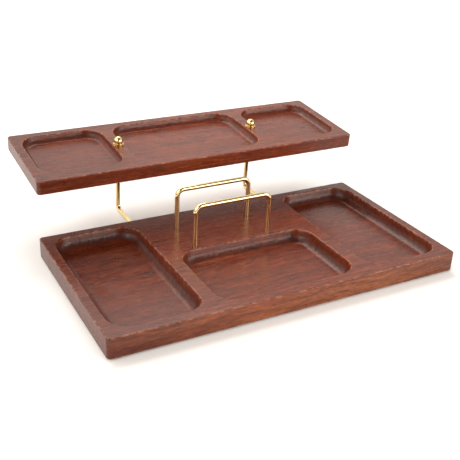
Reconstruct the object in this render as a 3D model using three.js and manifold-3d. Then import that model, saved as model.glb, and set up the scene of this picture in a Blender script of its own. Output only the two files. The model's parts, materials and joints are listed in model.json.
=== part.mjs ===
// Two-tier wooden desk valet: a thick base with three pockets and two brass hoops for letters, and
// a thinner upper tray with three pockets, carried behind and above it on two L-shaped brass rods.
// Millimetres, +Z up, front towards -Y. The origin is on the surface that the valet stands on,
// under the middle of its overall length and depth.

import * as THREE from 'three';
import { mergeVertices } from 'three/addons/utils/BufferGeometryUtils.js';
import Module from 'manifold-3d';

const wasm = await Module();
wasm.setup();

// Base board
const BASE_LENGTH = 355.6;
const BASE_DEPTH = 187.2;
const BASE_THICKNESS = 19.6;
const BASE_MARGIN_SIDE = 8.0; // wood beside the outer pockets
const BASE_MARGIN_FRONT = 10.1; // wood in front of the pockets
const BASE_MARGIN_BACK = 7.4; // wood behind the side pockets
const BASE_PARTITION = 11.9; // wood between the centre and side pockets
const BASE_CENTRE_DEPTH = 97.3; // centre pocket, along Y
const BASE_POCKET_SINK = 12.0; // floor below the top face

// Upper tray
const TRAY_LENGTH = 354.6;
const TRAY_DEPTH = 108.9;
const TRAY_THICKNESS = 14.2;
const TRAY_MARGIN_SIDE = 8.2;
const TRAY_MARGIN_FRONT = 11.4;
const TRAY_MARGIN_BACK = 7.7;
const TRAY_PARTITION = 9.9;
const TRAY_POCKET_SINK = 7.5;
const TRAY_LEAN = THREE.MathUtils.degToRad(4.25); // the tray's front edge is lower than its back

// Shaping that both boards share
const BOARD_CORNER_RADIUS = 3.5; // upright corners
const BOARD_EDGE_RADIUS = 0.9; // long edges
const POCKET_CORNER_RADIUS = 20.0; // pocket outline
const POCKET_RIM_RADIUS = 1.1; // eased edge at the mouth
const POCKET_DRAFT = THREE.MathUtils.degToRad(14); // the straight part of the wall leans outward
const BASE_COVE_RADIUS = 8.0; // wall to floor
const TRAY_COVE_RADIUS = 5.5;

// Brass rods and hoops
const WIRE_DIAMETER = 4.76;
const ROD_SPACING = 155.2; // between the rods' axes; both boards' partitions are centred on them
const ROD_HEIGHT = 9.4; // level leg's axis above the base's underside
const ROD_STANDOFF = 52.9; // corner of the L behind the base's back face
const ROD_RISE = 60.3; // from the L's corner to the tray's underside, along the upright
const ROD_BEND_RADIUS = 6.0;
const ROD_SOCKET_DEPTH = 32.0; // blind hole in the base's back face
const HOOP_SPAN = 79.5; // between the legs' axes
const HOOP_RISE = 42.2; // bar's axis above the base's top face
const HOOP_BEND_RADIUS = 7.0;
const HOOP_OFFSET = -9.2; // the hoops stand left of the middle
const HOOP_BEHIND_POCKET = 3.2; // front hoop's axis behind the centre pocket's mouth
const HOOP_SPACING = 41.5; // between the two hoops' planes
const HOOP_SOCKET_DEPTH = 12.0; // blind hole in the base's top face

// Fasteners and feet
const WASHER_DIAMETER = 11.2;
const WASHER_THICKNESS = 0.9;
const JAM_NUT_FLATS = 9.5;
const JAM_NUT_HEIGHT = 3.2;
const JAM_NUT_CHAMFER = 0.5;
const BALL_DIAMETER = 9.5;
const BALL_RISE = 1.9; // ball's centre above the collar that it is turned in one with
const COLLAR_DIAMETER = 10.2;
const COLLAR_HEIGHT = 0.9;
const BALL_BORE_DEPTH = 5.2;
const ROD_ENGAGEMENT = 4.5; // rod inside the ball nut
const PAD_DIAMETER = 14.0;
const PAD_THICKNESS = 1.5;
const PAD_INSET = 15.0; // pad's centre from the board's two edges

// Clearances
const SOCKET_CLEARANCE = 0.15; // round a wire in a hole, on the radius
const FACE_GAP = 0.3; // between pieces clamped face to face
const PAD_GAP = 0.05; // glue line over a pad

// Smoothness
const CORNER_SEGMENTS = 7; // per quarter turn of a pocket's outline
const COVE_SEGMENTS = 5;
const EDGE_SEGMENTS = 3;
const BEND_SEGMENTS = 8;
const WIRE_SIDES = 16;
const ROUND_SIDES = 32;
const BALL_SEGMENTS = 10;

const walnut = { color: 0x7a4436, roughness: 0.42, metalness: 0 };
const brass = { color: 0xd9b25c, roughness: 0.2, metalness: 1 };
const felt = { color: 0x3b2a22, roughness: 0.95, metalness: 0 };

const quarterTurn = Math.PI / 2;
const sides = [{ name: 'left', sign: -1 }, { name: 'right', sign: 1 }];
const wireRadius = WIRE_DIAMETER / 2;
const socketRadius = wireRadius + SOCKET_CLEARANCE;

// Places of the two hoops, and heights in the clamped stack above and below the tray's underside
const rodX = ROD_SPACING / 2;
const frontHoopY = BASE_MARGIN_FRONT - BASE_DEPTH / 2 + BASE_CENTRE_DEPTH + HOOP_BEHIND_POCKET;
const hoopPlanes = [frontHoopY, frontHoopY + HOOP_SPACING];
const trayNormal = new THREE.Vector3(0, -Math.sin(TRAY_LEAN), Math.cos(TRAY_LEAN));
const topWasherHeight = TRAY_THICKNESS + FACE_GAP;
const seatHeight = topWasherHeight + WASHER_THICKNESS + FACE_GAP;
const underWasherHeight = -FACE_GAP - WASHER_THICKNESS;
const jamNutHeight = underWasherHeight - FACE_GAP - JAM_NUT_HEIGHT;

// ---------------------------------------------------------------- solids

function toSolid(geometry) {
  const bare = geometry.clone();
  bare.deleteAttribute('normal');
  bare.deleteAttribute('uv');
  const merged = mergeVertices(bare, 1e-4);
  return new wasm.Manifold(new wasm.Mesh({
    numProp: 3,
    vertProperties: new Float32Array(merged.attributes.position.array),
    triVerts: new Uint32Array(merged.index.array),
  }));
}

function toGeometry(solid) {
  const mesh = solid.getMesh();
  const geometry = new THREE.BufferGeometry();
  geometry.setAttribute('position', new THREE.BufferAttribute(mesh.vertProperties, 3));
  geometry.setIndex(new THREE.BufferAttribute(mesh.triVerts, 1));
  geometry.computeVertexNormals();
  return geometry;
}

function makeMesh(name, geometry, finish) {
  const mesh = new THREE.Mesh(geometry, new THREE.MeshStandardMaterial(finish));
  mesh.name = name;
  return mesh;
}

// Rounded rectangle about the origin. Every point of its outline lies on one of the corner arcs.
function roundedRectangle(halfX, halfY, radius) {
  const shape = new THREE.Shape();
  shape.absarc(halfX - radius, halfY - radius, radius, 0, quarterTurn);
  shape.absarc(radius - halfX, halfY - radius, radius, quarterTurn, 2 * quarterTurn);
  shape.absarc(radius - halfX, radius - halfY, radius, 2 * quarterTurn, 3 * quarterTurn);
  shape.absarc(halfX - radius, radius - halfY, radius, 3 * quarterTurn, 4 * quarterTurn);
  return shape;
}

// Rounded block whose sides follow a profile, a list of { inset, height } from bottom to top.
// An inset shrinks the outline evenly, so that each corner keeps its centre.
function profiledBlock(halfX, halfY, radius, profile, curveSegments) {
  const steps = profile.length - 1;
  const shape = roundedRectangle(halfX, halfY, radius);
  const options = { depth: 1, steps, curveSegments, bevelEnabled: false };
  const geometry = new THREE.ExtrudeGeometry(shape, options);
  const position = geometry.attributes.position;
  for (let i = 0; i < position.count; i++) {
    const { inset, height } = profile[Math.round(position.getZ(i) * steps)];
    const scale = (radius - inset) / radius;
    const centreX = Math.sign(position.getX(i)) * (halfX - radius);
    const centreY = Math.sign(position.getY(i)) * (halfY - radius);
    const x = centreX + (position.getX(i) - centreX) * scale;
    const y = centreY + (position.getY(i) - centreY) * scale;
    position.setXYZ(i, x, y, height);
  }
  return toSolid(geometry);
}

// Board standing on z = 0 with all its long edges rounded over.
function boardBlank(length, depth, thickness) {
  const profile = [];
  for (let i = 0; i <= EDGE_SEGMENTS; i++) {
    const turn = quarterTurn * i / EDGE_SEGMENTS;
    const inset = BOARD_EDGE_RADIUS * (1 - Math.sin(turn));
    profile.push({ inset, height: BOARD_EDGE_RADIUS * (1 - Math.cos(turn)) });
  }
  const upper = profile.map(({ inset, height }) => ({ inset, height: thickness - height }));
  profile.push(...upper.reverse());
  return profiledBlock(length / 2, depth / 2, BOARD_CORNER_RADIUS, profile, EDGE_SEGMENTS + 1);
}

// What a pocket removes. Its mouth is at z = 0 and its floor at z = -sink. From the floor up: a
// cove, a straight wall with draft, an eased rim, and a stub of the mouth's outline above the top.
function pocketCutter(halfX, halfY, sink, coveRadius) {
  const wallAngle = quarterTurn - POCKET_DRAFT;
  const rimRun = POCKET_RIM_RADIUS * Math.sin(wallAngle);
  const rimDrop = POCKET_RIM_RADIUS * (1 - Math.cos(wallAngle));
  const coveRun = coveRadius * Math.sin(wallAngle);
  const coveRise = coveRadius * (1 - Math.cos(wallAngle));
  const wallRun = (sink - coveRise - rimDrop) * Math.tan(POCKET_DRAFT);
  const floorInset = coveRun + wallRun + rimRun;
  const profile = [];
  for (let i = 0; i <= COVE_SEGMENTS; i++) {
    const angle = wallAngle * i / COVE_SEGMENTS;
    const inset = floorInset - coveRadius * Math.sin(angle);
    profile.push({ inset, height: coveRadius * (1 - Math.cos(angle)) - sink });
  }
  for (let i = EDGE_SEGMENTS; i >= 0; i--) {
    const angle = wallAngle * i / EDGE_SEGMENTS;
    const inset = POCKET_RIM_RADIUS * Math.sin(angle);
    profile.push({ inset, height: -POCKET_RIM_RADIUS * (1 - Math.cos(angle)) });
  }
  profile.push({ inset: 0, height: POCKET_RIM_RADIUS });
  return profiledBlock(halfX, halfY, POCKET_CORNER_RADIUS, profile, CORNER_SEGMENTS);
}

// Cylinder along +Z, from z = 0.
function rodSolid(radius, length) {
  const geometry = new THREE.CylinderGeometry(radius, radius, length, ROUND_SIDES);
  geometry.rotateX(quarterTurn);
  geometry.translate(0, 0, length / 2);
  return toSolid(geometry);
}

// Solid of revolution about Z from an outline of [radius, z] points.
function turnedSolid(outline, sides) {
  const points = outline.map(([radius, z]) => new THREE.Vector2(radius, z));
  const geometry = new THREE.LatheGeometry(points, sides);
  geometry.rotateX(quarterTurn);
  return toSolid(geometry);
}

// ---------------------------------------------------------------- boards

// Cuts a row of three pockets: a centre one between the rods' lines and one towards each end.
function cutPockets(board, size) {
  const innerEdge = (ROD_SPACING + size.partition) / 2;
  const outerEdge = size.length / 2 - size.marginSide;
  const front = size.marginFront - size.depth / 2;
  const back = size.depth / 2 - size.marginBack;
  const centreBack = front + size.centreDepth;
  const sideHalfX = (outerEdge - innerEdge) / 2;
  const sideCutter = pocketCutter(sideHalfX, (back - front) / 2, size.sink, size.coveRadius);
  const centreHalfX = (ROD_SPACING - size.partition) / 2;
  const centreCutter = pocketCutter(centreHalfX, size.centreDepth / 2, size.sink, size.coveRadius);
  const sideX = (outerEdge + innerEdge) / 2;
  const sideY = (front + back) / 2;
  const centreY = (front + centreBack) / 2;
  return board
    .subtract(sideCutter.translate([-sideX, sideY, size.thickness]))
    .subtract(centreCutter.translate([0, centreY, size.thickness]))
    .subtract(sideCutter.translate([sideX, sideY, size.thickness]));
}

function makeBaseBoard() {
  let board = cutPockets(boardBlank(BASE_LENGTH, BASE_DEPTH, BASE_THICKNESS), {
    length: BASE_LENGTH,
    depth: BASE_DEPTH,
    thickness: BASE_THICKNESS,
    marginSide: BASE_MARGIN_SIDE,
    marginFront: BASE_MARGIN_FRONT,
    marginBack: BASE_MARGIN_BACK,
    partition: BASE_PARTITION,
    centreDepth: BASE_CENTRE_DEPTH,
    sink: BASE_POCKET_SINK,
    coveRadius: BASE_COVE_RADIUS,
  });
  const rodSocket = rodSolid(socketRadius, 2 * ROD_SOCKET_DEPTH).rotate([90, 0, 0]);
  for (const side of sides) {
    const mouth = BASE_DEPTH / 2 + ROD_SOCKET_DEPTH;
    board = board.subtract(rodSocket.translate([side.sign * rodX, mouth, ROD_HEIGHT]));
  }
  const hoopSocket = rodSolid(socketRadius, 2 * HOOP_SOCKET_DEPTH);
  for (const y of hoopPlanes) {
    for (const side of sides) {
      const x = HOOP_OFFSET + side.sign * HOOP_SPAN / 2;
      board = board.subtract(hoopSocket.translate([x, y, BASE_THICKNESS - HOOP_SOCKET_DEPTH]));
    }
  }
  return toGeometry(board);
}

function makeUpperTray() {
  let board = cutPockets(boardBlank(TRAY_LENGTH, TRAY_DEPTH, TRAY_THICKNESS), {
    length: TRAY_LENGTH,
    depth: TRAY_DEPTH,
    thickness: TRAY_THICKNESS,
    marginSide: TRAY_MARGIN_SIDE,
    marginFront: TRAY_MARGIN_FRONT,
    marginBack: TRAY_MARGIN_BACK,
    partition: TRAY_PARTITION,
    centreDepth: TRAY_DEPTH - TRAY_MARGIN_FRONT - TRAY_MARGIN_BACK,
    sink: TRAY_POCKET_SINK,
    coveRadius: TRAY_COVE_RADIUS,
  });
  const hole = rodSolid(socketRadius, 3 * TRAY_THICKNESS);
  for (const side of sides) {
    board = board.subtract(hole.translate([side.sign * rodX, 0, -TRAY_THICKNESS]));
  }
  return toGeometry(board);
}

// ---------------------------------------------------------------- bent wire

// A wire's centre line: straight runs between corners, and a round bend at each inner corner.
// It holds one station at each end of a straight run and several round each bend.
class BentWire extends THREE.Curve {
  constructor(corners, bendRadius) {
    super();
    const first = new THREE.Vector3().subVectors(corners[1], corners[0]).normalize();
    this.stations = [{ point: corners[0], tangent: first }];
    for (let i = 1; i < corners.length - 1; i++) {
      this.addBend(corners[i - 1], corners[i], corners[i + 1], bendRadius);
    }
    const { tangent } = this.stations[this.stations.length - 1];
    this.stations.push({ point: corners[corners.length - 1], tangent });
    this.steps = this.stations.length - 1;
  }

  addBend(before, corner, after, bendRadius) {
    const inward = new THREE.Vector3().subVectors(corner, before).normalize();
    const outward = new THREE.Vector3().subVectors(after, corner).normalize();
    const turn = inward.angleTo(outward);
    const axis = new THREE.Vector3().crossVectors(inward, outward).normalize();
    const start = corner.clone().addScaledVector(inward, -bendRadius * Math.tan(turn / 2));
    const toCentre = new THREE.Vector3().crossVectors(axis, inward).multiplyScalar(bendRadius);
    const centre = start.clone().add(toCentre);
    for (let i = 0; i <= BEND_SEGMENTS; i++) {
      const angle = turn * i / BEND_SEGMENTS;
      const spoke = start.clone().sub(centre).applyAxisAngle(axis, angle);
      const tangent = inward.clone().applyAxisAngle(axis, angle);
      this.stations.push({ point: centre.clone().add(spoke), tangent });
    }
  }

  getPointAt(u, target = new THREE.Vector3()) {
    return target.copy(this.stations[Math.round(u * this.steps)].point);
  }

  getTangentAt(u, target = new THREE.Vector3()) {
    return target.copy(this.stations[Math.round(u * this.steps)].tangent);
  }
}

function makeWire(corners, bendRadius) {
  const path = new BentWire(corners, bendRadius);
  const section = new THREE.Shape();
  section.absarc(0, 0, wireRadius, 0, 2 * Math.PI);
  const options = { steps: path.steps, extrudePath: path, curveSegments: WIRE_SIDES / 2 };
  return toGeometry(toSolid(new THREE.ExtrudeGeometry(section, options)));
}

// L-shaped rod about its corner: the level leg runs forward into the base and the upright leans
// with the upper tray.
function makeSupportRod() {
  const legEnd = new THREE.Vector3(0, FACE_GAP - ROD_STANDOFF - ROD_SOCKET_DEPTH, 0);
  const corner = new THREE.Vector3();
  const tip = trayNormal.clone().multiplyScalar(ROD_RISE + seatHeight + ROD_ENGAGEMENT);
  return makeWire([legEnd, corner, tip], ROD_BEND_RADIUS);
}

// U-shaped hoop on the base's top face at z = 0, with its feet in their sockets.
function makeHoop() {
  const half = HOOP_SPAN / 2;
  const foot = FACE_GAP - HOOP_SOCKET_DEPTH;
  const corners = [[-half, foot], [-half, HOOP_RISE], [half, HOOP_RISE], [half, foot]];
  return makeWire(corners.map(([x, z]) => new THREE.Vector3(x, 0, z)), HOOP_BEND_RADIUS);
}

// ---------------------------------------------------------------- fasteners and feet

function makeWasher() {
  const inner = socketRadius;
  const outer = WASHER_DIAMETER / 2;
  const outline = [[inner, 0], [outer, 0], [outer, WASHER_THICKNESS], [inner, WASHER_THICKNESS]];
  return toGeometry(turnedSolid([...outline, outline[0]], ROUND_SIDES));
}

// Hexagonal nut from z = 0 up, with its corners turned off at both faces.
function makeJamNut() {
  const flat = JAM_NUT_FLATS / 2;
  const corner = flat / Math.cos(Math.PI / 6);
  const top = JAM_NUT_HEIGHT;
  const hexagon = new THREE.CylinderGeometry(corner, corner, top, 6);
  hexagon.rotateX(quarterTurn);
  hexagon.translate(0, 0, top / 2);
  const turned = turnedSolid([
    [0, 0], [flat, 0], [corner, JAM_NUT_CHAMFER],
    [corner, top - JAM_NUT_CHAMFER], [flat, top], [0, top],
  ], ROUND_SIDES);
  const bore = rodSolid(socketRadius, 3 * top).translate([0, 0, -top]);
  return toGeometry(toSolid(hexagon).intersect(turned).subtract(bore));
}

// Ball on a flat collar at z = 0, with a blind bore up from its foot.
function makeBallNut() {
  const radius = BALL_DIAMETER / 2;
  const centre = COLLAR_HEIGHT + BALL_RISE;
  const start = Math.acos(BALL_RISE / radius);
  const collar = COLLAR_DIAMETER / 2;
  const outline = [[0, BALL_BORE_DEPTH], [socketRadius, BALL_BORE_DEPTH], [socketRadius, 0]];
  outline.push([collar, 0], [collar, COLLAR_HEIGHT]);
  for (let i = 0; i < BALL_SEGMENTS; i++) {
    const angle = start + (Math.PI - start) * i / BALL_SEGMENTS;
    outline.push([radius * Math.sin(angle), centre - radius * Math.cos(angle)]);
  }
  outline.push([0, centre + radius]);
  return toGeometry(turnedSolid(outline, ROUND_SIDES));
}

function makePad() {
  return toGeometry(rodSolid(PAD_DIAMETER / 2, PAD_THICKNESS));
}

// ---------------------------------------------------------------- layout

// The base, standing on z = 0 here, with everything that is fixed straight into it.
function makeBaseGroup() {
  const group = new THREE.Group();
  group.add(makeMesh('base_board', makeBaseBoard(), walnut));
  ['hoop_front', 'hoop_back'].forEach((name, i) => {
    const hoop = makeMesh(name, makeHoop(), brass);
    hoop.position.set(HOOP_OFFSET, hoopPlanes[i], BASE_THICKNESS);
    group.add(hoop);
  });
  for (const side of sides) {
    const rod = makeMesh(`support_rod_${side.name}`, makeSupportRod(), brass);
    rod.position.set(side.sign * rodX, BASE_DEPTH / 2 + ROD_STANDOFF, ROD_HEIGHT);
    group.add(rod);
    for (const [end, sign] of [['front', -1], ['back', 1]]) {
      const pad = makeMesh(`felt_pad_${end}_${side.name}`, makePad(), felt);
      const x = side.sign * (BASE_LENGTH / 2 - PAD_INSET);
      pad.position.set(x, sign * (BASE_DEPTH / 2 - PAD_INSET), -PAD_THICKNESS - PAD_GAP);
      group.add(pad);
    }
  }
  return group;
}

// The upper tray and what clamps it. Its underside is at z = 0 here and the rods are its Z lines.
function makeTrayGroup() {
  const group = new THREE.Group();
  group.add(makeMesh('upper_tray', makeUpperTray(), walnut));
  for (const side of sides) {
    const stack = [
      [`jam_nut_${side.name}`, makeJamNut(), jamNutHeight],
      [`under_washer_${side.name}`, makeWasher(), underWasherHeight],
      [`top_washer_${side.name}`, makeWasher(), topWasherHeight],
      [`ball_nut_${side.name}`, makeBallNut(), seatHeight],
    ];
    for (const [name, geometry, height] of stack) {
      const piece = makeMesh(name, geometry, brass);
      piece.position.set(side.sign * rodX, 0, height);
      group.add(piece);
    }
  }
  return group;
}

const valet = new THREE.Group();
const baseGroup = makeBaseGroup();
const trayGroup = makeTrayGroup();
trayGroup.position.set(0, BASE_DEPTH / 2 + ROD_STANDOFF, ROD_HEIGHT);
trayGroup.position.addScaledVector(trayNormal, ROD_RISE);
trayGroup.rotation.x = TRAY_LEAN;
valet.add(baseGroup, trayGroup);

// Moves the origin under the middle of the whole valet, on the surface it stands on.
const extent = new THREE.Box3().setFromObject(valet, true);
const middle = extent.getCenter(new THREE.Vector3());
baseGroup.position.sub(new THREE.Vector3(middle.x, middle.y, extent.min.z));
trayGroup.position.sub(new THREE.Vector3(middle.x, middle.y, extent.min.z));

export default valet;
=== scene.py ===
import json
from math import acos, ceil, cos, pi, radians, sin, tan

import bmesh
import bpy
from mathutils import Matrix, Vector, noise


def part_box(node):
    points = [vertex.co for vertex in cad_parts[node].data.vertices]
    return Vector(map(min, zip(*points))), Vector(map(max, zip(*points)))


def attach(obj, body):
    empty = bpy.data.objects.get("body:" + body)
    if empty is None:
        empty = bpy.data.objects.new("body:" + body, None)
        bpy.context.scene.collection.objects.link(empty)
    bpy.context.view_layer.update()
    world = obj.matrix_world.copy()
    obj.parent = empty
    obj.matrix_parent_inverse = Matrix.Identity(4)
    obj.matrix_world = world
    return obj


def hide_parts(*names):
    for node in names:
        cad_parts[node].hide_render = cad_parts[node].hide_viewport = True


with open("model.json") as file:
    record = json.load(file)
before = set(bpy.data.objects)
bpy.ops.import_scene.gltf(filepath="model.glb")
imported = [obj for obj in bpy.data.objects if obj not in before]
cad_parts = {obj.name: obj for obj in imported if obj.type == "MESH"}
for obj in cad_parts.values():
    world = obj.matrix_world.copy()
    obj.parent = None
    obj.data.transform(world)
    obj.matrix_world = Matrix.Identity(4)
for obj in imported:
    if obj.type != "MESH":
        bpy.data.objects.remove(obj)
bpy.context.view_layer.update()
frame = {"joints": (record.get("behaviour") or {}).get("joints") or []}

MM = 0.001
scene = bpy.context.scene

# ------------------------------------------------------------ sizes, as in the CAD model

# Base board
BASE_MARGIN_SIDE = 8.0 * MM
BASE_MARGIN_FRONT = 10.1 * MM
BASE_MARGIN_BACK = 7.4 * MM
BASE_PARTITION = 11.9 * MM
BASE_CENTRE_DEPTH = 97.3 * MM
BASE_SINK = 12.0 * MM
BASE_COVE = 8.0 * MM

# Upper tray
TRAY_LENGTH = 354.6 * MM
TRAY_DEPTH = 108.9 * MM
TRAY_THICKNESS = 14.2 * MM
TRAY_MARGIN_SIDE = 8.2 * MM
TRAY_MARGIN_FRONT = 11.4 * MM
TRAY_MARGIN_BACK = 7.7 * MM
TRAY_PARTITION = 9.9 * MM
TRAY_SINK = 7.5 * MM
TRAY_COVE = 5.5 * MM

# Both boards
CORNER_RADIUS = 3.5 * MM
EDGE_RADIUS = 0.9 * MM
POCKET_CORNER = 20.0 * MM
RIM_RADIUS = 1.1 * MM
DRAFT = radians(14)

# Brass
WIRE_RADIUS = 2.38 * MM
SOCKET_RADIUS = 2.53 * MM
SOCKET_CHAMFER = 0.25 * MM
END_EASE = 0.5 * MM  # the wires' ends are eased over this far
ROD_SPACING = 155.2 * MM
ROD_RISE = 60.3 * MM
ROD_BEND = 6.0 * MM
ROD_SOCKET = 32.0 * MM
HOOP_BEND = 7.0 * MM
HOOP_SOCKET = 12.0 * MM
ROD_ENGAGEMENT = 4.5 * MM
FACE_GAP = 0.3 * MM
HAIRLINE = 0.02 * MM  # left between two finished pieces that touch
WASHER_RADIUS = 5.6 * MM
WASHER_THICKNESS = 0.9 * MM
NUT_FLAT = 4.75 * MM
NUT_HEIGHT = 3.2 * MM
NUT_CHAMFER = 0.5 * MM
NUT_BORE_CHAMFER = 0.3 * MM
BALL_RADIUS = 4.75 * MM
BALL_RISE = 1.9 * MM
COLLAR_RADIUS = 5.1 * MM
COLLAR_HEIGHT = 0.9 * MM
BALL_BORE = 5.2 * MM
THREAD_PITCH = 0.79375 * MM
THREAD_DEPTH = 0.42 * MM
THREAD_BELOW_NUT = 7.0 * MM
TURNED_EDGE = 0.18 * MM  # rounding on the washers' and the ball nuts' edges

# Felt pads
PAD_SOFT_EDGE = 0.45 * MM
FELT_SINK = 0.02 * MM  # its side is drawn in by at least this much
FELT_FUZZ = 0.06 * MM  # unevenness of its side
FELT_NAP = 0.05 * MM  # unevenness of its faces
FUZZ_SCALE = 1400
NAP_SCALE = 900

# Small unevenness of hand-finished edges, and how fast it changes along an edge, per metre
RIM_WANDER = 0.06 * MM
EDGE_WANDER = 0.06 * EDGE_RADIUS
WANDER_SCALE, CHATTER_SCALE = 55, 310
WANDER_SHARE, CHATTER_SHARE = 0.75, 0.35
WANDER_UPRIGHT = 0.3  # it changes more slowly up a wall than along it

# Painted shade: how dark a pocket's wall is at its foot, and how much more so where the cove turns
WALL_SHADE, COVE_SHADE = 0.4, 0.6
COVE_DARKEST = 0.4  # where along the cove, from the wall's foot to the floor
COVE_FADE = 4  # power of the share at which the shade is gone from the floor

# Mesh steps
EDGE_STEP = 3.0 * MM
WIRE_STEP = 2.0 * MM
FLAT_BORDER = 0.3 * MM  # a narrow ring of flat faces beside every rounding
WALL_LEVELS = (0.3, 1.0)  # where a pocket's straight wall has its rings, from its rim down
FLUSH = 0.03 * MM  # nearer than this, a point lies on a face
MERGE = 0.001 * MM
SHARP_ANGLE = radians(32)
CORNER_STEPS = 12
ROUND_STEPS = 6
COVE_STEPS = 10
BEND_STEPS = 24
TURNED_EDGE_STEPS = 4
BALL_STEPS = 28
NUT_STEPS = 6  # on each stretch of the nut's outline
CORNER_ROOM = 0.48  # of the shorter side, the most that a rounded corner takes
PAD_EDGE_STEPS = 4
PAD_RINGS = 7  # on each face, inside its soft edge
WIRE_SIDES = 36
TURNED_SIDES = 72
ROUND_SIDES = 64
THREAD_RINGS = 8  # to a turn of the thread

X, Y, Z = Vector((1, 0, 0)), Vector((0, 1, 0)), Vector((0, 0, 1))

# ------------------------------------------------------------ places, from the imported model

base_low, base_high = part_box("base_board")
base_middle = (base_low + base_high) / 2
tray_low, tray_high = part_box("upper_tray")
tray_middle = (tray_low + tray_high) / 2
tray_lift = next(joint for joint in frame["joints"] if joint["name"] == "tray_lift")
tray_normal = Vector(tray_lift["axis"]).normalized()
tray_foot = tray_middle - tray_normal * TRAY_THICKNESS / 2
base_foot = Vector((base_middle.x, base_middle.y, base_low.z))
HOOPS = ("hoop_front", "hoop_back")
SIDES = (("left", -1), ("right", 1))
ROD_X = ROD_SPACING / 2
SEAT_HEIGHT = TRAY_THICKNESS + 2 * FACE_GAP + WASHER_THICKNESS  # of a ball nut, above tray_foot

# ------------------------------------------------------------ mesh tools


def new_piece(name, bm, material, node, body):
    """Turns bm into a smooth-shaded object that stands for a CAD node and rides on its body."""
    bmesh.ops.recalc_face_normals(bm, faces=bm.faces)
    mesh = bpy.data.meshes.new(name)
    bm.to_mesh(mesh)
    bm.free()
    mesh.shade_smooth()
    mesh.set_sharp_from_angle(angle=SHARP_ANGLE)
    mesh.materials.append(material)
    piece = bpy.data.objects.new(name, mesh)
    scene.collection.objects.link(piece)
    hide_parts(node)
    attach(piece, body)


def add_ring(bm, points):
    return [bm.verts.new(point) for point in points]


def join_rings(bm, rings):
    """Quads between each ring and the next one. All the rings are closed and equally long."""
    for first, second in zip(rings, rings[1:]):
        count = len(first)
        for i in range(count):
            j = (i + 1) % count
            bm.faces.new((first[i], first[j], second[j], second[i]))


def ring_edges(bm, ring):
    """The edges of a closed ring of vertices, made where they don't exist yet."""
    edges = []
    for i, vert in enumerate(ring):
        after = ring[(i + 1) % len(ring)]
        edges.append(bm.edges.get((vert, after)) or bm.edges.new((vert, after)))
    return edges


def fill_between(bm, rings, normal):
    """Flat face bounded by the rings, the later ones being holes in the first."""
    edges = [edge for ring in rings for edge in ring_edges(bm, ring)]
    bmesh.ops.triangle_fill(bm, use_beauty=True, use_dissolve=False, edges=edges, normal=normal)


def quarter(radius, steps, sweep=pi / 2):
    """(run, drop) along an arc that leaves a flat face tangentially and turns by sweep."""
    turns = [sweep * i / steps for i in range(steps + 1)]
    return [(radius * sin(turn), radius * (1 - cos(turn))) for turn in turns]


def outline(half_x, half_y, radius):
    """Points of a rounded rectangle, anticlockwise, each with its outward direction."""
    points = []
    corners = ((1, 1), (-1, 1), (-1, -1), (1, -1))
    for index, (sign_x, sign_y) in enumerate(corners):
        centre = Vector((sign_x * (half_x - radius), sign_y * (half_y - radius), 0))
        start = index * pi / 2
        for i in range(CORNER_STEPS + 1):
            turn = start + i * pi / 2 / CORNER_STEPS
            out = Vector((cos(turn), sin(turn), 0))
            points.append((centre + out * radius, out))
        along_x = index % 2 == 0
        run = 2 * (half_x - radius) if along_x else 2 * (half_y - radius)
        parts = max(1, round(run / EDGE_STEP))
        last, out = points[-1]
        heading = Vector((-out.y, out.x, 0))
        for i in range(1, parts):
            points.append((last + heading * run * i / parts, out))
    return points


def circle(centre, radius, sides):
    turns = [2 * pi * i / sides for i in range(sides)]
    return [centre + Vector((cos(t), sin(t), 0)) * radius for t in turns]


def wander(point):
    """Smooth pseudo-random value, the same on every run, between about -1 and 1."""
    slow = noise.noise(point * WANDER_SCALE)
    fast = noise.noise(point * CHATTER_SCALE)
    return WANDER_SHARE * slow + CHATTER_SHARE * fast


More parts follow.
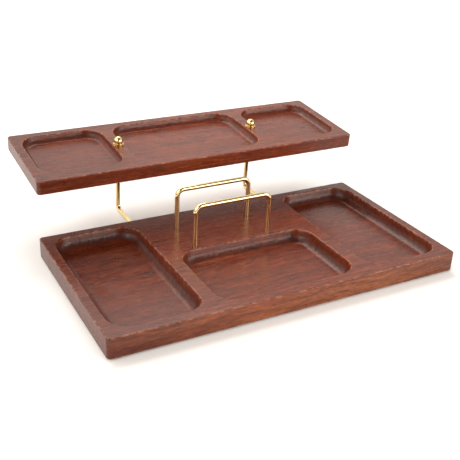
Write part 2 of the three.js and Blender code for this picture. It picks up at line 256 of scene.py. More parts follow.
class Board:
    """A wooden board about the Z axis, standing on z = 0, with its length along X.

    Two vertex attributes are kept for its material: one where an edge is eased, for rubbed wear
    with a painted highlight, and cove_shade down the walls and coves of its pockets, for painted
    shade.
    """

    def __init__(self, length, depth, thickness, seed):
        self.bm = bmesh.new()
        self.wear_and_highlight = self.bm.verts.layers.float.new("edge_wear_and_highlight")
        self.shade = self.bm.verts.layers.float.new("cove_shade")
        self.length, self.depth, self.thickness = length, depth, thickness
        self.seed = Vector((seed, seed, 0))
        self.top_rings, self.bottom_rings = [], []
        self.add_shell()

    def sweep(self, points, levels, shift=Vector()):
        """Rings from (inset, z, wear, shade, loose) levels, each a copy of the outline.

        loose is how far the ring wanders inwards from its inset.
        """
        rings = []
        for inset, z, wear_and_highlight, shade, loose in levels:
            ring = []
            for point, out in points:
                drift = wander(point + shift + self.seed + Z * z * WANDER_UPRIGHT)
                place = point + shift - out * (inset + loose * abs(drift))
                vert = self.bm.verts.new((place.x, place.y, z))
                vert[self.wear_and_highlight] = wear_and_highlight
                vert[self.shade] = shade
                ring.append(vert)
            rings.append(ring)
        join_rings(self.bm, rings)
        return rings

    def add_shell(self):
        points = outline(self.length / 2, self.depth / 2, CORNER_RADIUS)
        arc = quarter(EDGE_RADIUS, ROUND_STEPS)
        flat = EDGE_RADIUS + FLAT_BORDER
        top = self.thickness
        levels = [(flat, 0, 0, 0, 0)]
        levels += [(EDGE_RADIUS - run, drop, 1, 0, 0) for run, drop in arc]
        levels += [(0, flat, 0, 0, 0), (0, top - flat, 0, 0, 0)]
        swell = [sin(pi * i / ROUND_STEPS) for i in range(ROUND_STEPS + 1)]
        for (run, drop), share in zip(reversed(arc), reversed(swell)):
            levels.append((EDGE_RADIUS - run, top - drop, 1, 0, EDGE_WANDER * share))
        levels.append((flat, top, 0, 0, 0))
        shell = self.sweep(points, levels)
        self.bottom_rings.append(shell[0])
        self.top_rings.append(shell[-1])

    def add_pocket(self, left, right, front, back, sink, cove):
        """Sinks a pocket: eased rim, leaning wall, cove, flat floor."""
        shift = Vector(((left + right) / 2, (front + back) / 2, 0))
        points = outline((right - left) / 2, (back - front) / 2, POCKET_CORNER)
        steep = pi / 2 - DRAFT
        top = self.thickness
        rim = quarter(RIM_RADIUS, ROUND_STEPS, steep)
        levels = [(-FLAT_BORDER, top, 0, 0, 0)]
        for i, (run, drop) in enumerate(rim):
            levels.append((run, top - drop, 1, 0, RIM_WANDER * i / ROUND_STEPS))
        rim_run, rim_drop = rim[-1]
        bend = quarter(cove, COVE_STEPS, steep)
        cove_run, cove_rise = bend[-1]
        wall = sink - rim_drop - cove_rise
        wall_run = wall * tan(DRAFT)
        for share in WALL_LEVELS:
            level = top - rim_drop - wall * share
            levels.append((rim_run + wall_run * share, level, 0, WALL_SHADE * share, RIM_WANDER))
        floor_inset = rim_run + wall_run + cove_run
        for i, (run, rise) in enumerate(reversed(bend[:-1])):
            share = (i + 1) / COVE_STEPS
            swell = sin(pi * min(1, share / (2 * COVE_DARKEST)))
            shade = (WALL_SHADE + COVE_SHADE * swell) * (1 - share**COVE_FADE)
            loose = RIM_WANDER * (1 - share)
            levels.append((floor_inset - run, top - sink + rise, 0, shade, loose))
        levels.append((floor_inset + FLAT_BORDER, top - sink, 0, 0, 0))
        rings = self.sweep(points, levels, shift)
        self.top_rings.append(rings[0])
        fill_between(self.bm, [rings[-1]], Z)

    def add_pockets(self, front, back, centre_back, side, partition, sink, cove):
        """Three pockets in a row. The partitions between them are centred on the rods."""
        outer = self.length / 2 - side
        inner = ROD_X + partition / 2
        half = ROD_X - partition / 2
        self.add_pocket(-outer, -inner, front, back, sink, cove)
        self.add_pocket(-half, half, front, centre_back, sink, cove)
        self.add_pocket(inner, outer, front, back, sink, cove)

    def drill(self, x, y, bottom=0):
        """Upright hole from the top face down to bottom, or right through where bottom is 0."""
        centre = Vector((x, y, 0))
        through = bottom <= 0
        steps = [(SOCKET_RADIUS + SOCKET_CHAMFER, self.thickness)]
        steps.append((SOCKET_RADIUS, self.thickness - SOCKET_CHAMFER))
        if through:
            steps += [(SOCKET_RADIUS, SOCKET_CHAMFER), (SOCKET_RADIUS + SOCKET_CHAMFER, 0)]
        else:
            steps.append((SOCKET_RADIUS, bottom))
        rings = [add_ring(self.bm, circle(centre + Z * z, r, WIRE_SIDES)) for r, z in steps]
        join_rings(self.bm, rings)
        self.top_rings.append(rings[0])
        if through:
            self.bottom_rings.append(rings[-1])
        else:
            self.bm.faces.new(rings[-1])

    def drill_back(self, x, z, depth):
        """Blind hole into the back face, whose faces about it are made again around its mouth."""
        reach, back = 3 * SOCKET_RADIUS, self.depth / 2
        low, high = EDGE_RADIUS, self.thickness - EDGE_RADIUS
        faces = []
        for face in self.bm.faces:
            at = face.calc_center_median()
            if abs(at.y - back) < FLUSH and abs(at.x - x) < reach and low < at.z < high:
                faces.append(face)
        border = [e for f in faces for e in f.edges if sum(g in faces for g in e.link_faces) == 1]
        bmesh.ops.delete(self.bm, geom=faces, context="FACES_ONLY")
        mouth = (SOCKET_RADIUS + SOCKET_CHAMFER, 0)
        rings = []
        for radius, inward in (mouth, (SOCKET_RADIUS, SOCKET_CHAMFER), (SOCKET_RADIUS, depth)):
            flat = circle(Vector(), radius, WIRE_SIDES)
            points = [Vector((x + p.x, back - inward, z + p.y)) for p in flat]
            rings.append(add_ring(self.bm, points))
        join_rings(self.bm, rings)
        self.bm.faces.new(rings[-1])
        edges = border + ring_edges(self.bm, rings[0])
        bmesh.ops.triangle_fill(self.bm, use_beauty=True, edges=edges, normal=Y)
        loose = [e for e in self.bm.edges if not e.link_faces]
        bmesh.ops.delete(self.bm, geom=loose, context="EDGES")

    def close(self, place):
        """Fills the two faces round the pockets and holes, and moves the board to its place."""
        fill_between(self.bm, self.top_rings, Z)
        fill_between(self.bm, self.bottom_rings, -Z)
        bmesh.ops.transform(self.bm, matrix=place, verts=self.bm.verts)
        return self.bm


def bent_path(corners, bend):
    """(point, tangent) stations along straight runs that meet in round bends."""
    stations = [(corners[0], (corners[1] - corners[0]).normalized())]
    for before, corner, after in zip(corners, corners[1:], corners[2:]):
        inward, outward = (corner - before).normalized(), (after - corner).normalized()
        turn = inward.angle(outward)
        axis = inward.cross(outward).normalized()
        start = corner - inward * bend * tan(turn / 2)
        centre = start + axis.cross(inward) * bend
        for i in range(BEND_STEPS + 1):
            spin = Matrix.Rotation(turn * i / BEND_STEPS, 3, axis)
            stations.append((centre + spin @ (start - centre), spin @ inward))
    stations.append((corners[-1], stations[-1][1]))
    return stations


def wire_mesh(stations, across, radius_at):
    """Tube about the stations. across is square to the plane that they lie in."""
    bm = bmesh.new()
    rings = []
    run, last = 0, stations[0][0]
    for point, tangent in stations:
        run += (point - last).length
        last = point
        side = across.cross(tangent)
        ring = []
        for i in range(WIRE_SIDES):
            turn = 2 * pi * i / WIRE_SIDES
            ring.append(point + (side * cos(turn) + across * sin(turn)) * radius_at(run, turn))
        rings.append(add_ring(bm, ring))
    join_rings(bm, rings)
    bm.faces.new(rings[0])
    bm.faces.new(rings[-1])
    return bm


def with_stops(stations, step):
    """Stations with extra ones along the straight runs, no further apart than step."""
    full = [stations[0]]
    for (a, ta), (b, tb) in zip(stations, stations[1:]):
        parts = max(1, ceil((b - a).length / step))
        full += [(a.lerp(b, i / parts), tb if i == parts else ta) for i in range(1, parts + 1)]
    return full


def path_length(stations):
    return sum((b[0] - a[0]).length for a, b in zip(stations, stations[1:]))


def soft_corners(corners, radius):
    """(radius, height) outline with every corner between its two ends rounded."""
    points = [Vector(corner).to_3d() for corner in corners]
    made = [points[0]]
    for before, corner, after in zip(points, points[1:], points[2:]):
        inward, outward = (corner - before).normalized(), (after - corner).normalized()
        turn = inward.angle(outward)
        room = min((corner - before).length, (after - corner).length) * CORNER_ROOM
        cut = min(radius * tan(turn / 2), room)
        start, end = corner - inward * cut, corner + outward * cut
        for i in range(TURNED_EDGE_STEPS + 1):
            share = i / TURNED_EDGE_STEPS
            made.append(start.lerp(corner, share).lerp(corner.lerp(end, share), share))
    made.append(points[-1])
    return [(point.x, point.y) for point in made]


def turned_mesh(profile, origin, axis, limit=None):
    """Solid of revolution from (radius, height) points. limit caps the radius by angle."""
    bm = bmesh.new()
    side = axis.cross(X)
    rings = []
    for radius, height in profile:
        ring = []
        for i in range(TURNED_SIDES):
            turn = 2 * pi * i / TURNED_SIDES
            reach = min(radius, limit(turn)) if limit else radius
            ring.append(origin + axis * height + (X * cos(turn) + side * sin(turn)) * reach)
        rings.append(add_ring(bm, ring))
    join_rings(bm, rings)
    bmesh.ops.remove_doubles(bm, verts=bm.verts, dist=MERGE)
    return bm


# ------------------------------------------------------------ material tools


class Nodes:
    """Short-hand for building one material's node tree."""

    def __init__(self, name):
        self.material = bpy.data.materials.new(name)
        self.material.use_nodes = True
        self.tree = self.material.node_tree
        self.shader = self.tree.nodes["Principled BSDF"]

    def add(self, kind, **settings):
        node = self.tree.nodes.new("ShaderNode" + kind)
        for key, value in settings.items():
            setattr(node, key, value)
        return node

    def link(self, source, target):
        self.tree.links.new(source, target)

    def feed(self, socket, value):
        """Links a node's output to the socket, or sets the socket to a constant."""
        if isinstance(value, bpy.types.NodeSocket):
            self.link(value, socket)
        else:
            socket.default_value = value

    def math(self, operation, *values):
        node = self.add("Math", operation=operation)
        for socket, value in zip(node.inputs, values):
            self.feed(socket, value)
        return node.outputs[0]

    def add_up(self, total, *terms):
        """total plus each (value, weight) term's product."""
        for value, weight in terms:
            total = self.math("ADD", total, self.math("MULTIPLY", value, weight))
        return total

    def vector(self, operation, *values):
        node = self.add("VectorMath", operation=operation)
        for socket, value in zip(node.inputs, values):
            self.feed(socket, value)
        return node.outputs["Value" if operation == "LENGTH" else "Vector"]

    def noise(self, place, scale, detail, roughness=0.5, distortion=0.0):
        node = self.add("TexNoise")
        self.link(place, node.inputs["Vector"])
        node.inputs["Scale"].default_value = scale
        node.inputs["Detail"].default_value = detail
        node.inputs["Roughness"].default_value = roughness
        node.inputs["Distortion"].default_value = distortion
        return node.outputs[0]

    def grain(self, place, scale, detail, roughness=0.5):
        """Noise with a scale of its own along each axis."""
        return self.noise(self.vector("MULTIPLY", place, scale), 1.0, detail, roughness)

    def span(self, value, low, high, out_low=0.0, out_high=1.0):
        """0 to 1, or out_low to out_high, while the value goes from low to high."""
        node = self.add("MapRange")
        self.link(value, node.inputs["Value"])
        ends = (low, high, out_low, out_high)
        for socket, end in zip(("From Min", "From Max", "To Min", "To Max"), ends):
            self.feed(node.inputs[socket], end)
        return node.outputs["Result"]

    def ramp(self, value, stops):
        """Colour through (position, colour) stops."""
        node = self.add("ValToRGB")
        self.link(value, node.inputs[0])
        line = node.color_ramp.elements
        while len(line) < len(stops):
            line.new(0.5)
        for element, (at, colour) in zip(line, stops):
            element.position = at
            element.color = (*colour, 1)
        return node.outputs[0]

    def mix(self, share, first, second, blend="MIX"):
        node = self.add("Mix", data_type="RGBA", blend_type=blend)
        self.feed(node.inputs[0], share)
        for socket, colour in zip(node.inputs[6:8], (first, second)):  # the two colour inputs
            plain = isinstance(colour, tuple)
            self.feed(socket, (*colour, 1) if plain else colour)
        return node.outputs[2]

    def attribute(self, name):
        return self.add("Attribute", attribute_name=name).outputs["Fac"]

    def bump(self, height, distance, strength):
        node = self.add("Bump")
        self.link(height, node.inputs["Height"])
        node.inputs["Distance"].default_value = distance
        node.inputs["Strength"].default_value = strength
        self.link(node.outputs[0], self.shader.inputs["Normal"])

    def set(self, **values):
        """Feeds the shader's inputs, their names written with underscores."""
        for key, value in values.items():
            self.feed(self.shader.inputs[key.replace("_", " ")], value)


# Walnut: noise scales per metre along X, Y and Z. The fibres run along X, so X is the slowest.
PITH_DRIFT = (5.0, 9.0, 9.0)
RING_RAGGED = (30.0, 260.0, 260.0)
FIBRE = (45.0, 720.0, 720.0)
STREAK = (9.0, 150.0, 150.0)
FLECK = (150.0, 820.0, 820.0)
PORE = (110.0, 1100.0, 1100.0)
MINERAL_LOOP = (4.5, 30.0, 30.0)
WARM_PATCH = (9.0, 26.0, 26.0)
DEEP_PATCH = (5.0, 38.0, 38.0)
CUTTER_CHATTER = (300.0, 300.0, 30.0)  # upright marks, so here Z is the slowest
LINE_PLACES, RUBBED_AND_HIGHLIGHT_PLACES, DULL_PLACES = 19.0, 260.0, 45.0  # the same along all three

# Its year rings lie this close about a pith line that sways, as long cones along X, and each one
# darkens before the next begins
RINGS_PER_METRE = 190.0
PITH_SWAY = 0.05
RING_TAPER = 0.07
RING_EDGE = 0.55  # how ragged it is, in rings
YEAR_RING = ((0.0, (0.62,) * 3), (0.5, (0.52,) * 3), (0.84, (0.28,) * 3), (1.0, (0.62,) * 3))

# Its colours, with the painted shade of the ends, the back and the hollows, and a painted highlight
# in the rubbed edges
HEARTWOOD = (
    (0.36, (0.070, 0.0100, 0.0034)),
    (0.46, (0.118, 0.0175, 0.0048)),
    (0.54, (0.162, 0.0265, 0.0066)),
    (0.66, (0.240, 0.0470, 0.0115)),
)
SAPWOOD = ((0.38, (0.150, 0.0460, 0.0180)), (0.64, (0.390, 0.1560, 0.0660)))
FLECK_GREY = ((0.36, (0.74,) * 3), (0.64, (1.26,) * 3))
WARM_WOOD = (0.215, 0.0350, 0.0085)
DEEP_WOOD = (0.060, 0.0095, 0.0040)
END_SHADE = (0.062, 0.0120, 0.0060)
REAR_SHADE = (0.050, 0.0080, 0.0036)
MINERAL = (0.036, 0.0070, 0.0036)
PORE_FLOOR = (0.035, 0.0080, 0.0040)
RUBBED_AND_HIGHLIGHT = (0.42, 0.170, 0.095)
HOLLOW_SHADE = (0.30, 0.25, 0.25)

# Where it is stained, marked or given painted shade, in metres, and how much of each colour is
# mixed in
SAPWOOD_DEPTH = 0.004
END_CENTRE, END_START, END_FULL = 0.025, 0.06, 0.20
END_SHADE_SHARE, PATCH_SHARE, LINE_SHARE, PORE_SHARE, RUBBED_AND_HIGHLIGHT_SHARE = 0.50, 0.26, 0.50, 0.40, 0.55
SAPWOOD_LOST = 0.7  # at the full painted shade of the ends

# Its dark lines: loops in each cloud of noise, and the half-widths of their core and their fade
LINE_LOOPS = 9.0
LINE_CORE, LINE_FADE = 0.03, 0.13

# Its lacquer
LACQUER_IOR = 1.38
LACQUER_SMOOTH, LACQUER_DULL = 0.19, 0.27
GRAIN_RELIEF = 0.00009


def year_rings(n, place, pith, seed):
    """Grey across the year rings: a wave of the distance to the pith line."""
    sway = n.math("MULTIPLY", n.math("SUBTRACT", n.grain(place, PITH_DRIFT, 2.0), 0.5), PITH_SWAY)
    centre = (seed, pith[0] + seed, pith[1] + seed)
    flat = n.vector("MULTIPLY", n.vector("SUBTRACT", place, centre), (RING_TAPER, 1.0, 1.0))
    distance = n.math("ADD", n.vector("LENGTH", flat), sway)
    ragged = n.grain(place, RING_RAGGED, 3.0)
    rings = n.add_up(n.math("MULTIPLY", distance, RINGS_PER_METRE), (ragged, RING_EDGE))
    return n.ramp(n.math("FRACT", rings), YEAR_RING)


def mineral_lines(n, place, slow):
    """Thin dark lines along the loops of the slow noise, here and there."""
    loop = n.math("FRACT", n.math("MULTIPLY", slow, LINE_LOOPS))
    away = n.math("ABSOLUTE", n.math("SUBTRACT", loop, 0.5))
    here = n.span(n.noise(place, LINE_PLACES, 2.0), 0.44, 0.60)
    return n.math("MULTIPLY", n.span(away, LINE_CORE, LINE_FADE, 1.0, 0.0), here)


def patches(n, place, scale, low, high):
    """Soft clouds of one scale, as the share of their colour that is mixed in."""
    return n.math("MULTIPLY", n.span(n.grain(place, scale, 3.0), low, high), PATCH_SHARE)


def walnut(name, pith, seed, sapwood, rear, hollow):
    """Red-brown lacquered walnut with its fibres along X.

    pith: Y and Z that the year rings centre on. seed: shifts the whole pattern.
    sapwood: Y of the front face, and how much paler it is.
    rear: Y where painted shade starts to darken the back, Y where it ends, and the share at each of
    them.
    hollow: how much painted shade darkens the walls of the pockets.
    """
    n = Nodes(name)
    board = n.add("TexCoord").outputs["Object"]
    place = n.vector("ADD", board, (seed, seed, seed))
    fibre = n.grain(place, FIBRE, 3.0, 0.6)
    streak = n.grain(place, STREAK, 3.0, 0.6)
    fleck = n.grain(place, FLECK, 2.0, 0.6)
    pores = n.span(n.grain(place, PORE, 1.0), 0.60, 0.70)
    slow = n.grain(place, MINERAL_LOOP, 2.5)
    wear_and_highlight, shade = n.attribute("edge_wear_and_highlight"), n.attribute("cove_shade")

    figure = n.math("MULTIPLY", year_rings(n, place, pith, seed), 0.22)
    tone = n.add_up(figure, (streak, 0.36), (fibre, 0.42))
    colour = n.ramp(tone, HEARTWOOD)
    colour = n.mix(patches(n, place, WARM_PATCH, 0.38, 0.64), colour, WARM_WOOD)
    colour = n.mix(patches(n, place, DEEP_PATCH, 0.50, 0.68), colour, DEEP_WOOD)
    # The front face shows paler sapwood, and painted shade darkens the wood towards both ends and,
    # under the tray, the back
    axes = n.add("SeparateXYZ")
    n.link(board, axes.inputs[0])
    along, across = axes.outputs["X"], axes.outputs["Y"]
    off_centre = n.math("ABSOLUTE", n.math("SUBTRACT", along, END_CENTRE))
    ends = n.span(off_centre, END_START, END_FULL)
    face, pale = sapwood
    sap = n.span(across, face, face + SAPWOOD_DEPTH, pale, 0.0)
    sap = n.math("MULTIPLY", sap, n.span(slow, 0.36, 0.60, 0.35, 1.0))
    sap = n.math("MULTIPLY", sap, n.math("SUBTRACT", 1.0, n.math("MULTIPLY", ends, SAPWOOD_LOST)))
    colour = n.mix(sap, colour, n.ramp(tone, SAPWOOD))
    # Painted shade towards both ends
    colour = n.mix(n.math("MULTIPLY", ends, END_SHADE_SHARE), colour, END_SHADE)
    # Painted shade on the back, under the tray
    colour = n.mix(n.span(across, *rear), colour, REAR_SHADE)
    # Lines, pores, flecks, rubbed edges with a painted highlight, and painted shade in the hollows
    lines = mineral_lines(n, place, slow)
    colour = n.mix(n.math("MULTIPLY", lines, LINE_SHARE), colour, MINERAL)
    colour = n.mix(n.math("MULTIPLY", pores, PORE_SHARE), colour, PORE_FLOOR)
    colour = n.mix(1.0, colour, n.ramp(fleck, FLECK_GREY), "MULTIPLY")
    # Rubbed edges: real wear, and a painted highlight along the eased edges
    patchy = n.span(n.noise(place, RUBBED_AND_HIGHLIGHT_PLACES, 4.0, 0.6), 0.46, 0.64)
    rubbed_and_highlight = n.math("MULTIPLY", n.math("MULTIPLY", wear_and_highlight, patchy), RUBBED_AND_HIGHLIGHT_SHARE)
    colour = n.mix(rubbed_and_highlight, colour, RUBBED_AND_HIGHLIGHT)
    # Painted shade down the walls and coves of the pockets
    colour = n.mix(n.math("MULTIPLY", shade, hollow), colour, HOLLOW_SHADE, "MULTIPLY")
    # Satin lacquer that has sunk a little into the grain, duller in the hollows
    dull = n.span(n.noise(place, DULL_PLACES, 3.0), 0.3, 0.7, LACQUER_SMOOTH, LACQUER_DULL)
    dull = n.add_up(dull, (fibre, 0.08), (pores, 0.15), (shade, 0.09))
    n.set(Base_Color=colour, Roughness=dull, IOR=LACQUER_IOR)
    # Sunken grain, and faint upright cutter marks on the walls of the pockets
    chatter = n.math("MULTIPLY", n.grain(place, CUTTER_CHATTER, 2.0), shade)
    height = n.math("MULTIPLY", fibre, 0.6)
    height = n.add_up(height, (pores, -0.6), (fleck, 0.5), (chatter, 10.0))
    n.bump(height, GRAIN_RELIEF, 0.8)
    return n.material


# Brass: what tarnish leaves of each colour, the stains, and the depth of the handling marks
TARNISH = (0.82, 0.72, 0.56)
STAIN = (0.42, 0.24, 0.07)
STAIN_SHARE = 0.22
CLOUD_SCALE, STAIN_SCALE, MARK_SCALE = 90.0, 260.0, 1500.0
DRAWN_RELIEF, TURNED_RELIEF = 0.000004, 0.000002


def brass(name, colour, roughness, relief):
    """Polished brass, a little tarnished and stained, with faint handling marks."""
    n = Nodes(name)
    place = n.add("TexCoord").outputs["Object"]
    cloud = n.noise(place, CLOUD_SCALE, 3.0)
    stain = n.span(n.noise(place, STAIN_SCALE, 4.0, 0.6), 0.5, 0.78)
    tarnished = tuple(part * left for part, left in zip(colour, TARNISH))
    base = n.mix(n.span(cloud, 0.35, 0.7, 0.0, 0.25), colour, tarnished)
    base = n.mix(n.math("MULTIPLY", stain, STAIN_SHARE), base, STAIN)
    rough = n.span(cloud, 0.3, 0.7, roughness, roughness + 0.07)
    rough = n.add_up(rough, (stain, 0.14))
    n.set(Base_Color=base, Metallic=1.0, Roughness=rough)
    n.bump(n.noise(place, MARK_SCALE, 2.0), relief, 0.6)
    return n.material


# Felt
WOOL = (
    (0.28, (0.020, 0.011, 0.008)),
    (0.52, (0.046, 0.026, 0.019)),
    (0.78, (0.115, 0.074, 0.056)),
)
WOOL_TUFT = (0.075, 0.047, 0.036)
WOOL_SCALE, TUFT_SCALE = 2600.0, 700.0
FELT_RELIEF = 0.00012


def felt(name):
    """Dense wool felt: matted fibres, a soft bloom and small tufts."""
    n = Nodes(name)
    place = n.add("TexCoord").outputs["Object"]
    matted = n.noise(place, WOOL_SCALE, 4.0, 0.7, 1.6)
    tuft = n.noise(place, TUFT_SCALE, 3.0)
    colour = n.mix(n.span(tuft, 0.45, 0.7, 0.0, 0.5), n.ramp(matted, WOOL), WOOL_TUFT)
    n.set(Base_Color=colour, Roughness=n.span(matted, 0.2, 0.8, 0.85, 1.0))
    n.set(Sheen_Weight=0.35, Sheen_Roughness=0.45, Specular_IOR_Level=0.15)
    n.bump(n.math("ADD", matted, tuft), FELT_RELIEF, 0.9)
    return n.material


BASE_WOOD = walnut(
    "base_walnut", pith=(0.035, -0.075), seed=0.0, sapwood=(base_low.y, 0.55),
    rear=(base_middle.y, base_high.y, 0.0, 0.35), hollow=0.75,
)
TRAY_WOOD = walnut(
    "tray_walnut", pith=(0.120, -0.030), seed=0.37, sapwood=(tray_low.y, 0.0),
    rear=(tray_middle.y, tray_high.y, 0.0, 0.0), hollow=0.35,
)
WIRE_BRASS = brass("drawn_brass", (0.86, 0.67, 0.35), 0.07, DRAWN_RELIEF)
TURNED_BRASS = brass("turned_brass", (0.90, 0.66, 0.29), 0.08, TURNED_RELIEF)
PAD_FELT = felt("brown_felt")

# ------------------------------------------------------------ boards


def base_board():
    board = Board(*(base_high - base_low), seed=0.0)
    front = BASE_MARGIN_FRONT - board.depth / 2
    back = board.depth / 2 - BASE_MARGIN_BACK
    board.add_pockets(
        front, back, front + BASE_CENTRE_DEPTH,
        BASE_MARGIN_SIDE, BASE_PARTITION, BASE_SINK, BASE_COVE,
    )
    for node in HOOPS:
        low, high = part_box(node)
        y = (low.y + high.y) / 2
        for x in (low.x + WIRE_RADIUS, high.x - WIRE_RADIUS):
            board.drill(x - base_middle.x, y - base_middle.y, board.thickness - HOOP_SOCKET)
    rod_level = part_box("support_rod_left")[0].z + WIRE_RADIUS
    for _, sign in SIDES:
        board.drill_back(sign * ROD_X, rod_level - base_low.z, ROD_SOCKET)
    return board.close(Matrix.Translation(base_foot))


def upper_tray():
    board = Board(TRAY_LENGTH, TRAY_DEPTH, TRAY_THICKNESS, seed=0.7)
    front = TRAY_MARGIN_FRONT - board.depth / 2
    back = board.depth / 2 - TRAY_MARGIN_BACK
    board.add_pockets(
        front, back, back, TRAY_MARGIN_SIDE, TRAY_PARTITION, TRAY_SINK, TRAY_COVE,
    )
    for _, sign in SIDES:
        board.drill(sign * ROD_X, 0)
    lean = Matrix((X, tray_normal.cross(X), tray_normal)).transposed().to_4x4()
    return board.close(Matrix.Translation(tray_foot) @ lean)


new_piece("base_board_walnut", base_board(), BASE_WOOD, "base_board", "base")
new_piece("upper_tray_walnut", upper_tray(), TRAY_WOOD, "upper_tray", "tray")

# ------------------------------------------------------------ rods and hoops


def eased_radius(run, whole):
    """Radius of a wire whose two ends are eased over, at a run along its whole length."""
    near = min(run, whole - run)
    if near >= END_EASE:
        return WIRE_RADIUS
    return WIRE_RADIUS - END_EASE * (1 - sin(acos(1 - near / END_EASE)))


def hoop(node):
    low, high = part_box(node)
    y = (low.y + high.y) / 2
    left, right = low.x + WIRE_RADIUS, high.x - WIRE_RADIUS
    bar = high.z - WIRE_RADIUS
    route = ((left, low.z), (left, bar), (right, bar), (right, low.z))
    path = with_stops(bent_path([Vector((x, y, z)) for x, z in route], HOOP_BEND), WIRE_STEP)
    whole = path_length(path)
    return wire_mesh(path, Y, lambda run, turn: eased_radius(run, whole))


def support_rod(node, sign):
    """L-shaped rod: a level leg out of the base, and an upright with thread cut on its end."""
    low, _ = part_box(node)
    foot = tray_foot + X * sign * ROD_X
    corner = foot - tray_normal * ROD_RISE
    leg = Vector((corner.x, low.y, corner.z))
    tip = foot + tray_normal * (SEAT_HEIGHT + ROD_ENGAGEMENT)
    path = with_stops(bent_path([leg, corner, tip], ROD_BEND), WIRE_STEP)
    bare = ROD_RISE - 2 * FACE_GAP - WASHER_THICKNESS - NUT_HEIGHT - THREAD_BELOW_NUT
    plain = []
    for point, tangent in path:
        if (point - corner).dot(tray_normal) < bare or point.y < corner.y - ROD_BEND:
            plain.append((point, tangent))
    threaded = with_stops([plain[-1], (tip, tray_normal)], THREAD_PITCH / THREAD_RINGS)
    path = plain + threaded[1:]
    whole, begin = path_length(path), path_length(plain)

    def radius_at(run, turn):
        if run <= begin:
            return eased_radius(run, whole)
        turns = (run - begin) / THREAD_PITCH
        phase = (turns - turn / (2 * pi)) % 1
        depth = THREAD_DEPTH * min(1, turns / 2)  # it runs in over two turns
        return eased_radius(run, whole) - depth * (1 - abs(2 * phase - 1))

    return wire_mesh(path, X, radius_at)


for node in HOOPS:
    new_piece(node + "_wire", hoop(node), WIRE_BRASS, node, "base")
for side, sign in SIDES:
    node = "support_rod_" + side
    new_piece(node + "_wire", support_rod(node, sign), WIRE_BRASS, node, "base")

# ------------------------------------------------------------ fasteners

# The washers and nuts are a gap thicker than in the CAD model, so that they meet their neighbours
FULL_WASHER = WASHER_THICKNESS + FACE_GAP - HAIRLINE
FULL_NUT = NUT_HEIGHT + FACE_GAP - HAIRLINE


def washer(seat):
    """Washer that rises from seat."""
    outer, bore, top = WASHER_RADIUS, SOCKET_RADIUS, FULL_WASHER
    corners = [(bore, 0), (outer, 0), (outer, top), (bore, top), (bore, 0)]
    return turned_mesh(soft_corners(corners, TURNED_EDGE), seat, tray_normal)


def jam_nut(seat):
    """Hexagonal nut that rises from seat, turned to its chamfers and then cut to its flats."""
    bore, top = SOCKET_RADIUS, FULL_NUT
    mouth = bore + NUT_BORE_CHAMFER
    point = NUT_FLAT / cos(pi / 6)
    corners = [(mouth, 0), (NUT_FLAT, 0), (point, NUT_CHAMFER), (point, top - NUT_CHAMFER)]
    corners += [(NUT_FLAT, top), (mouth, top), (bore, top - NUT_BORE_CHAMFER)]
    corners += [(bore, NUT_BORE_CHAMFER), (mouth, 0)]
    profile = []
    for (r1, h1), (r2, h2) in zip(corners, corners[1:]):
        for i in range(NUT_STEPS):
            share = i / NUT_STEPS
            profile.append((r1 + (r2 - r1) * share, h1 + (h2 - h1) * share))
    profile.append(corners[-1])

    def flats(turn):
        sector = (turn + pi / 6) % (pi / 3) - pi / 6
        return NUT_FLAT / cos(sector)

    return turned_mesh(profile, seat, tray_normal, flats)


def ball_nut(seat):
    """Ball on a collar, turned in one piece round a blind bore."""
    bore = SOCKET_RADIUS
    centre = COLLAR_HEIGHT + BALL_RISE
    opening = acos(BALL_RISE / BALL_RADIUS)
    corners = [(bore, BALL_BORE / 2), (bore, 0), (COLLAR_RADIUS, 0), (COLLAR_RADIUS, COLLAR_HEIGHT)]
    corners.append((BALL_RADIUS * sin(opening), COLLAR_HEIGHT))
    profile = [(0, BALL_BORE), (bore, BALL_BORE)] + soft_corners(corners, TURNED_EDGE)
    for i in range(BALL_STEPS):
        turn = opening + (pi - opening) * i / BALL_STEPS
        profile.append((BALL_RADIUS * sin(turn), centre - BALL_RADIUS * cos(turn)))
    profile.append((0, centre + BALL_RADIUS))
    return turned_mesh(profile, seat, tray_normal)


for side, sign in SIDES:
    foot = tray_foot + X * sign * ROD_X
    upper_seat = foot + tray_normal * (TRAY_THICKNESS + HAIRLINE)
    lower_seat = foot - tray_normal * (FULL_WASHER + HAIRLINE)
    nut_seat = lower_seat - tray_normal * (FULL_NUT + HAIRLINE)
    ball_seat = foot + tray_normal * SEAT_HEIGHT
    for kind, mesh, body in (
        ("top_washer_", washer(upper_seat), "washer_" + side),
        ("under_washer_", washer(lower_seat), "base"),
        ("jam_nut_", jam_nut(nut_seat), "base"),
        ("ball_nut_", ball_nut(ball_seat), "ball_" + side),
    ):
        node = kind + side
        new_piece(node + "_turned", mesh, TURNED_BRASS, node, body)

# ------------------------------------------------------------ felt pads


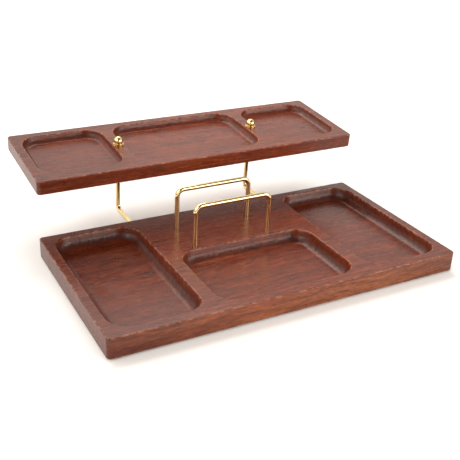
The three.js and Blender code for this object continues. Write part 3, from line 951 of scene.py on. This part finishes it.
def felt_pad(node):
    """Felt disc with soft edges and an uneven nap, inside its CAD solid."""
    low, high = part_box(node)
    radius, thick = (high.x - low.x) / 2, high.z - low.z
    centre = (low + high) / 2
    arc = quarter(PAD_SOFT_EDGE, PAD_EDGE_STEPS)
    half = [(radius * i / (PAD_RINGS + 2), 0) for i in range(1, PAD_RINGS + 1)]
    half += [(radius - PAD_SOFT_EDGE + run, drop) for run, drop in arc]
    levels = half + [(reach, thick - height) for reach, height in reversed(half)]
    bm = bmesh.new()
    rings = []
    for reach, height in levels:
        upward = Z if height < thick / 2 else -Z
        ring = []
        for point in circle(Vector((centre.x, centre.y, low.z + height)), reach, ROUND_SIDES):
            out = Vector((point.x - centre.x, point.y - centre.y, 0)).normalized()
            fuzz = abs(noise.noise(point * FUZZ_SCALE)) * FELT_FUZZ + FELT_SINK
            nap = FELT_NAP * (1 + noise.noise(point * NAP_SCALE)) / 2
            ring.append(point - out * fuzz + upward * nap)
        rings.append(add_ring(bm, ring))
    join_rings(bm, rings)
    bm.faces.new(rings[0])
    bm.faces.new(rings[-1])
    return bm


for end in ("front", "back"):
    for side, _ in SIDES:
        node = f"felt_pad_{end}_{side}"
        new_piece(node + "_felt", felt_pad(node), PAD_FELT, node, "base")

# ------------------------------------------------------------ floor, light and camera

FLOOR_RADIUS = 4.0
PAPER = (0.93, 0.93, 0.925, 1)

bm = bmesh.new()
bm.faces.new(add_ring(bm, circle(Vector(), FLOOR_RADIUS, ROUND_SIDES)))
floor_mesh = bpy.data.meshes.new("studio_floor")
bm.to_mesh(floor_mesh)
bm.free()
paper = Nodes("pale_paper")
paper.set(Base_Color=PAPER, Roughness=0.9, Specular_IOR_Level=0.0)
floor_mesh.materials.append(paper.material)
studio_floor = bpy.data.objects.new("studio_floor", floor_mesh)
scene.collection.objects.link(studio_floor)

# Surroundings: pale screens to the left, behind and to the right in a dim room, clear of its floor
SCREENS = ((-X, 2.1), (Y, 1.1), (X, 0.6))
ROOM = 0.16
BACKDROP = 1.05
SCREEN_EDGE, SCREEN_MIDDLE = 0.2, 0.9
SCREEN_FOOT, SCREEN_TOP = 0.02, 0.36
WARM_WHITE = (1.0, 0.96, 0.90)

world = bpy.data.worlds.new("studio")
scene.world = world
world.use_nodes = True
studio = world.node_tree
sky = studio.nodes["Background"]
sky.inputs["Color"].default_value = (*WARM_WHITE, 1)
heading = studio.nodes.new("ShaderNodeTexCoord").outputs["Generated"]


def studio_math(operation, first, second):
    node = studio.nodes.new("ShaderNodeMath")
    node.operation = operation
    for socket, value in zip(node.inputs, (first, second)):
        if isinstance(value, float):
            socket.default_value = value
        else:
            studio.links.new(value, socket)
    return node.outputs[0]


def soft_step(direction, low, high):
    """0 where the heading leans less than low towards the direction, 1 above high."""
    facing = studio.nodes.new("ShaderNodeVectorMath")
    facing.operation = "DOT_PRODUCT"
    facing.inputs[1].default_value = direction
    studio.links.new(heading, facing.inputs[0])
    step = studio.nodes.new("ShaderNodeMapRange")
    step.interpolation_type = "SMOOTHSTEP"
    step.inputs["From Min"].default_value = low
    step.inputs["From Max"].default_value = high
    studio.links.new(facing.outputs["Value"], step.inputs["Value"])
    return step.outputs["Result"]


lifted = soft_step(Z, SCREEN_FOOT, SCREEN_TOP)
glow = ROOM
for direction, strength in SCREENS:
    screen = studio_math("MULTIPLY", soft_step(direction, SCREEN_EDGE, SCREEN_MIDDLE), strength)
    glow = studio_math("ADD", studio_math("MULTIPLY", screen, lifted), glow)
# Behind the object the room looks as pale as the floor
seen = studio.nodes.new("ShaderNodeLightPath").outputs["Is Camera Ray"]
unseen = studio_math("MULTIPLY", glow, studio_math("SUBTRACT", 1.0, seen))
shown = studio_math("MULTIPLY", seen, BACKDROP)
studio.links.new(studio_math("ADD", unseen, shown), sky.inputs["Strength"])

AIM = Vector((0, 0, 0.03))
LIGHTS = (  # name, place, size and power in watts
    ("overhead_back", (0.0, 1.0, 1.6), (1.6, 1.0), 26),
    ("low_front", (1.0, -1.35, 0.5), (1.8, 0.9), 27),
    ("small_left", (-1.1, -0.7, 1.0), (0.6, 0.6), 5),
)
for name, place, size, power in LIGHTS:
    lamp = bpy.data.lights.new(name, "AREA")
    lamp.shape = "RECTANGLE"
    lamp.size, lamp.size_y = size
    lamp.energy = power
    lamp.color = WARM_WHITE
    holder = bpy.data.objects.new(name, lamp)
    scene.collection.objects.link(holder)
    holder.location = place
    holder.rotation_euler = (AIM - Vector(place)).to_track_quat("-Z", "Y").to_euler()

# Camera: the photograph's view, its angles in radians and its place measured from base_foot
CAMERA_AZIMUTH = -0.513706
CAMERA_ELEVATION = 0.463953
CAMERA_ROLL = 0.048385
CAMERA_OFFSET = Vector((-0.342795, -0.570078, 0.367533))
CAMERA_LENS = 60.967
CAMERA_NEAR = 0.01
SENSOR = 36.0

right = Vector((cos(CAMERA_AZIMUTH), sin(CAMERA_AZIMUTH), 0))
backward = Vector((
    sin(CAMERA_AZIMUTH) * cos(CAMERA_ELEVATION),
    -cos(CAMERA_AZIMUTH) * cos(CAMERA_ELEVATION),
    sin(CAMERA_ELEVATION),
))
up = backward.cross(right)
across = right * cos(CAMERA_ROLL) + up * sin(CAMERA_ROLL)
upward = up * cos(CAMERA_ROLL) - right * sin(CAMERA_ROLL)
camera_data = bpy.data.cameras.new("camera")
camera_data.sensor_width = SENSOR
camera_data.lens = CAMERA_LENS
camera_data.clip_start = CAMERA_NEAR
camera = bpy.data.objects.new("camera", camera_data)
scene.collection.objects.link(camera)
turned = Matrix((across, upward, backward)).transposed().to_4x4()
camera.matrix_world = Matrix.Translation(base_foot + CAMERA_OFFSET) @ turned
scene.camera = camera
scene.view_settings.view_transform = "Standard"
